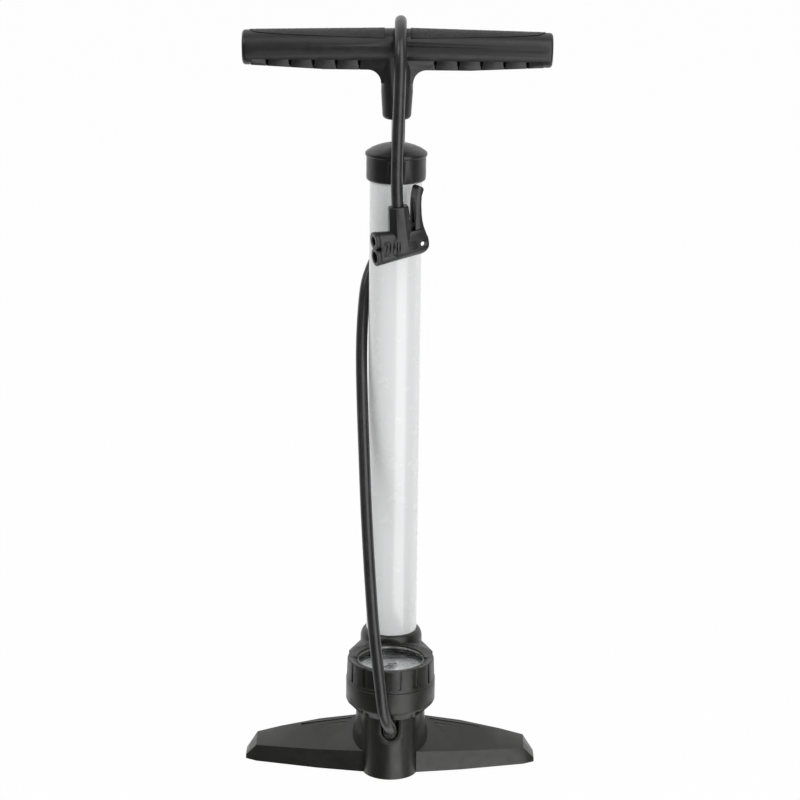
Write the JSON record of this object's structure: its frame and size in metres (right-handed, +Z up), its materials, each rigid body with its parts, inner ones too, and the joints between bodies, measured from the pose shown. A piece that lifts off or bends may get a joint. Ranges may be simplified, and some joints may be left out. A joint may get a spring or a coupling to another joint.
{
  "type": "floor bicycle pump",
  "caption": "Floor bicycle pump with a white barrel, black T-handle, gauge in the base, and a hose with a twin-port lever head hung over the handle.",
  "frame": {"origin": "on the barrel's axis, at the underside of the middle foot pad on the floor", "axes": "+Z up along the barrel, +X to the right of a person who faces the gauge, -Y towards that person"},
  "size_m": [0.2212, 0.1331, 0.5683],
  "materials": {
    "black_plastic": "satin",
    "handle_plastic": "satin",
    "grip_rubber": "matte",
    "white_paint": "gloss",
    "hose_rubber": "satin",
    "seal_rubber": "matte",
    "steel": "polished",
    "chrome": "polished",
    "brass": "satin",
    "guide_plastic": "satin",
    "dial_print": "satin",
    "lens": "clear"
  },
  "bodies": {
    "frame": {"base_body": "black_plastic", "upper_shell": "black_plastic", "left_foot_pad": "seal_rubber", "right_foot_pad": "seal_rubber", "front_foot_pad": "seal_rubber", "housing_screws": "steel", "barrel": "white_paint", "barrel_gasket": "seal_rubber", "valve_seat": "brass", "valve_spring": "steel", "barrel_cap": "black_plastic", "rod_bush": "guide_plastic", "rod_wiper": "seal_rubber", "top_bumper": "seal_rubber", "gauge_case": "black_plastic", "gauge_socket": "brass", "bourdon_tube": "brass", "gauge_movement": "brass", "gauge_dial": "dial_print", "gauge_lens": "lens", "trim_ring": "chrome", "hose_elbow": "brass", "hose_boot": "hose_rubber", "hose_lower": "hose_rubber"},
    "plunger": {"handle_body": "handle_plastic", "left_grip_pad": "grip_rubber", "right_grip_pad": "grip_rubber", "handle_pin": "steel", "rod": "steel", "piston_body": "guide_plastic", "piston_cup_seal": "seal_rubber", "piston_washer": "steel", "piston_nut": "steel", "hose_upper": "hose_rubber", "head_body": "black_plastic", "head_end_cap": "black_plastic", "schrader_gasket": "seal_rubber", "presta_gasket": "seal_rubber", "lever_pin": "steel"},
    "needle": {"gauge_needle": "black_plastic"},
    "lever": {"head_lever": "black_plastic"},
    "pusher": {"head_pusher": "guide_plastic"},
    "check_valve": {"valve_poppet": "brass"}
  },
  "joints": [
    {"name": "plunger_slide", "type": "slide", "parent": "frame", "child": "plunger", "axis": [0, 0, 1], "range_m": [0, 0.345]},
    {"name": "needle_turn", "type": "hinge", "parent": "frame", "child": "needle", "pos_m": [0, -0.05, 0.094], "axis": [0, 0, -1], "range_deg": [0, 270], "stiffness_Nm_per_rad": 0.00002},
    {"name": "lever_hinge", "type": "hinge", "parent": "plunger", "child": "lever", "pos_m": [0.01599, -0.02857, 0.41078], "axis": [-0.4067, 0.9135, 0], "range_deg": [0, 90]},
    {"name": "pusher_slide", "type": "slide", "parent": "plunger", "child": "pusher", "axis": [-0.9093, -0.4049, -0.0958], "range_m": [0, 0.002]},
    {"name": "check_valve_slide", "type": "slide", "parent": "frame", "child": "check_valve", "axis": [0, 0, -1], "range_m": [0, 0.0025], "stiffness_N_per_m": 60, "deforming": ["valve_spring"]}
  ],
  "couplings": [
    {"joint": "pusher_slide", "follows": "lever_hinge", "m_per_rad": 0.00127}
  ]
}
